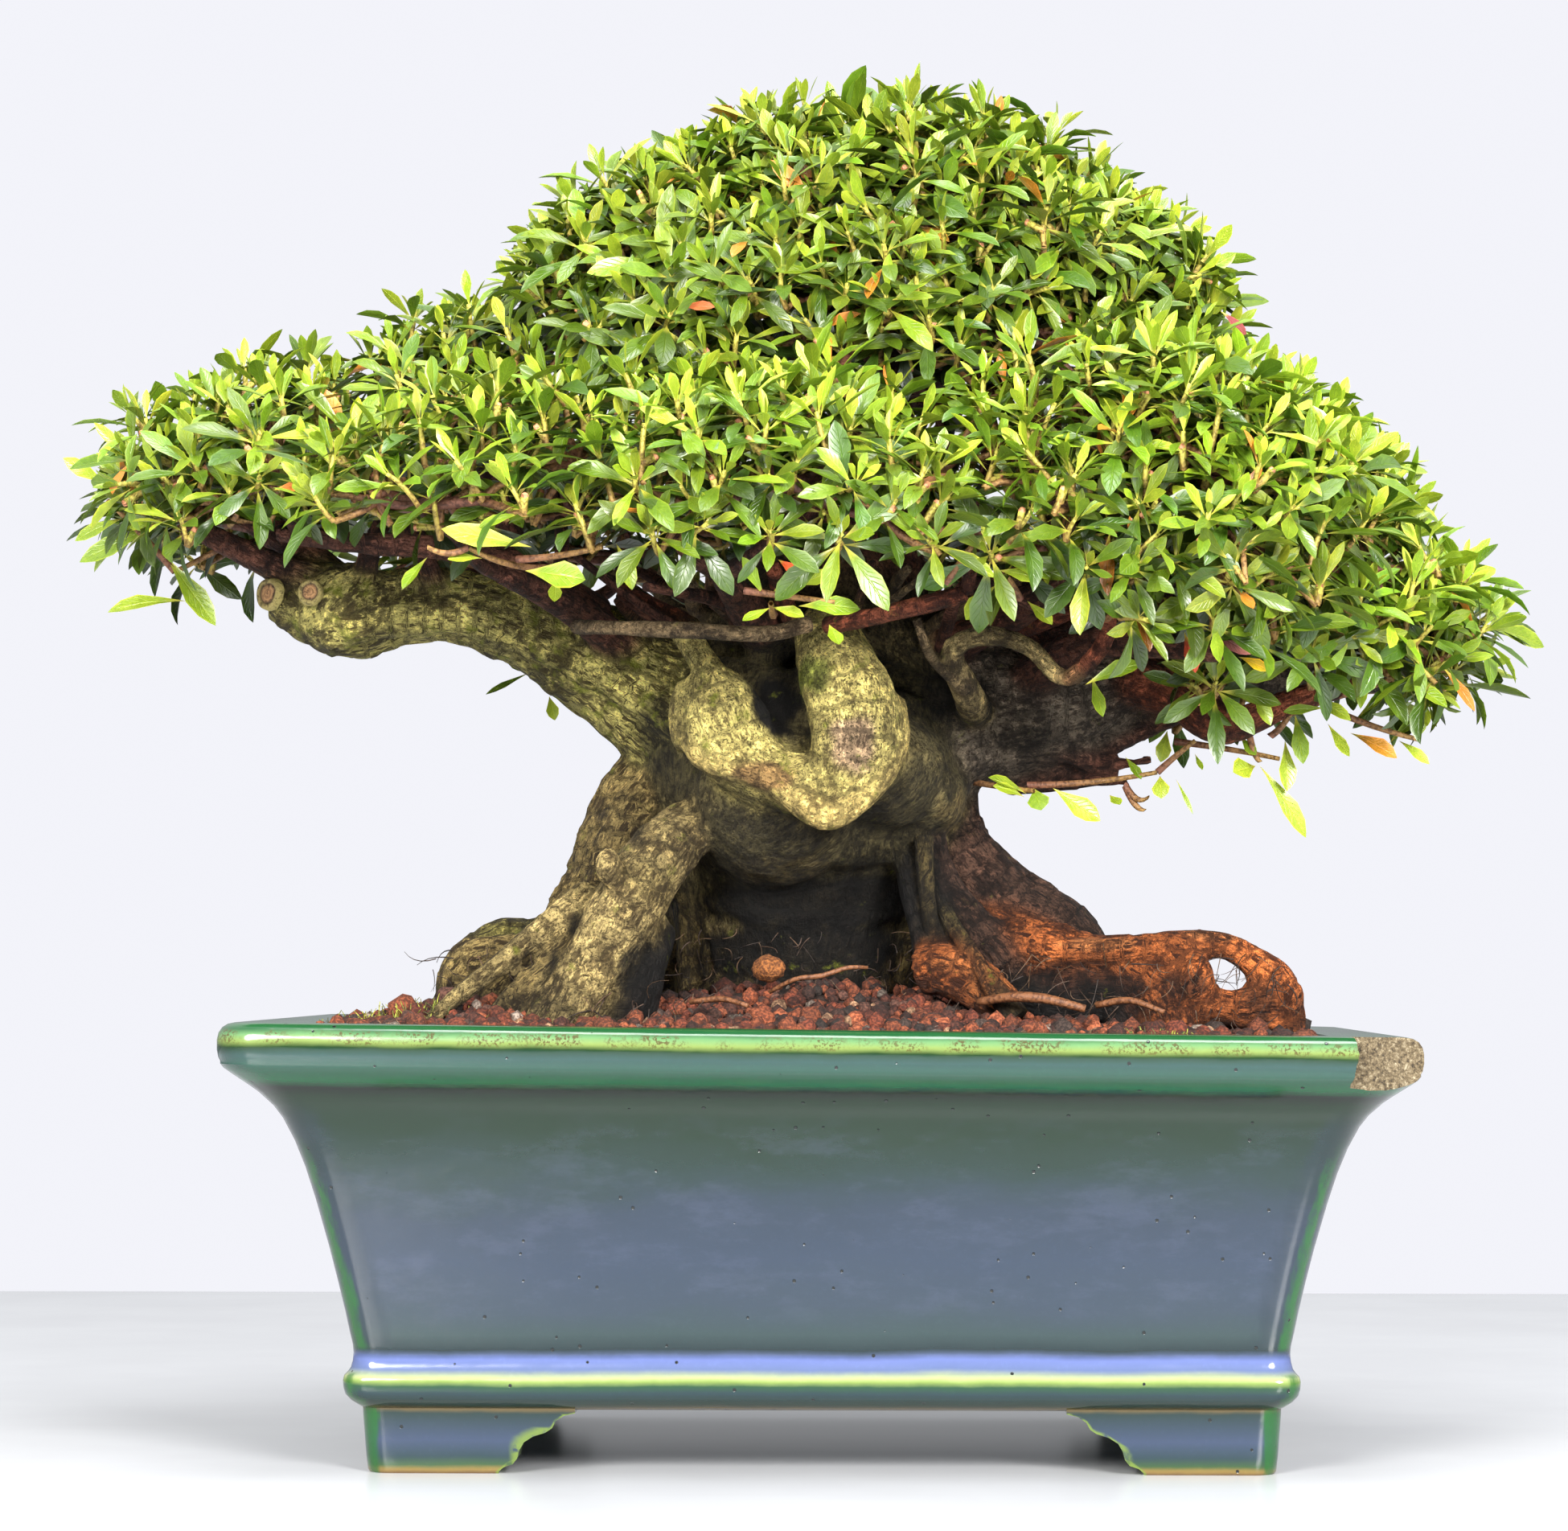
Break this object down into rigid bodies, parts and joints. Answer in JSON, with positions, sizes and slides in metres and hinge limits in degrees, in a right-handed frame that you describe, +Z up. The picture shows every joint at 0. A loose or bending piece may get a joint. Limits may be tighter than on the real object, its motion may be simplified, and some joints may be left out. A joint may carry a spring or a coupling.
{
  "type": "satsuki azalea bonsai",
  "caption": "Old evergreen azalea trained as a bonsai, with spreading surface roots and a dome of leaf whorls, in a rectangular glazed tray pot on cloud feet.",
  "frame": {"origin": "middle of the bottom of the whole object's box, on the surface that the pot stands on", "axes": "+X along the pot and the longest spread of the foliage, to the right as seen from the front; -Y to the front; +Z up"},
  "size_m": [0.4612, 0.3036, 0.433],
  "materials": {
    "glaze": "glossy streaked glaze, slate blue over green, breaking yellow-green and brown at the rim, pitted, with bare grey clay in a chip and under the feet",
    "soil": "matte baked clay granules in red-brown and ochre, with patches of moss",
    "netting": "matt black plastic mesh",
    "bark": "smooth to finely fissured bark, olive with algae on the belly, tan and red-brown on the roots",
    "foliage": "semi-gloss living leaves, mid green with a paler midrib, yellow-green when young"
  },
  "bodies": {
    "root": {"pot": "glaze", "soil": "soil", "drain_mesh_left": "netting", "drain_mesh_right": "netting", "trunk": "bark", "spray_01": "foliage", "spray_02": "foliage", "spray_03": "foliage", "spray_04": "foliage", "spray_05": "foliage", "spray_06": "foliage", "spray_07": "foliage", "spray_08": "foliage", "spray_09": "foliage", "spray_10": "foliage", "spray_11": "foliage", "spray_12": "foliage", "spray_13": "foliage", "spray_14": "foliage", "spray_15": "foliage", "spray_16": "foliage", "spray_17": "foliage", "spray_18": "foliage", "spray_19": "foliage", "spray_20": "foliage", "spray_21": "foliage", "spray_22": "foliage", "spray_23": "foliage", "spray_24": "foliage", "spray_25": "foliage", "spray_26": "foliage", "spray_27": "foliage", "spray_28": "foliage", "spray_29": "foliage", "spray_30": "foliage", "spray_31": "foliage", "spray_32": "foliage", "spray_33": "foliage", "spray_34": "foliage", "spray_35": "foliage"}
  },
  "joints": []
}
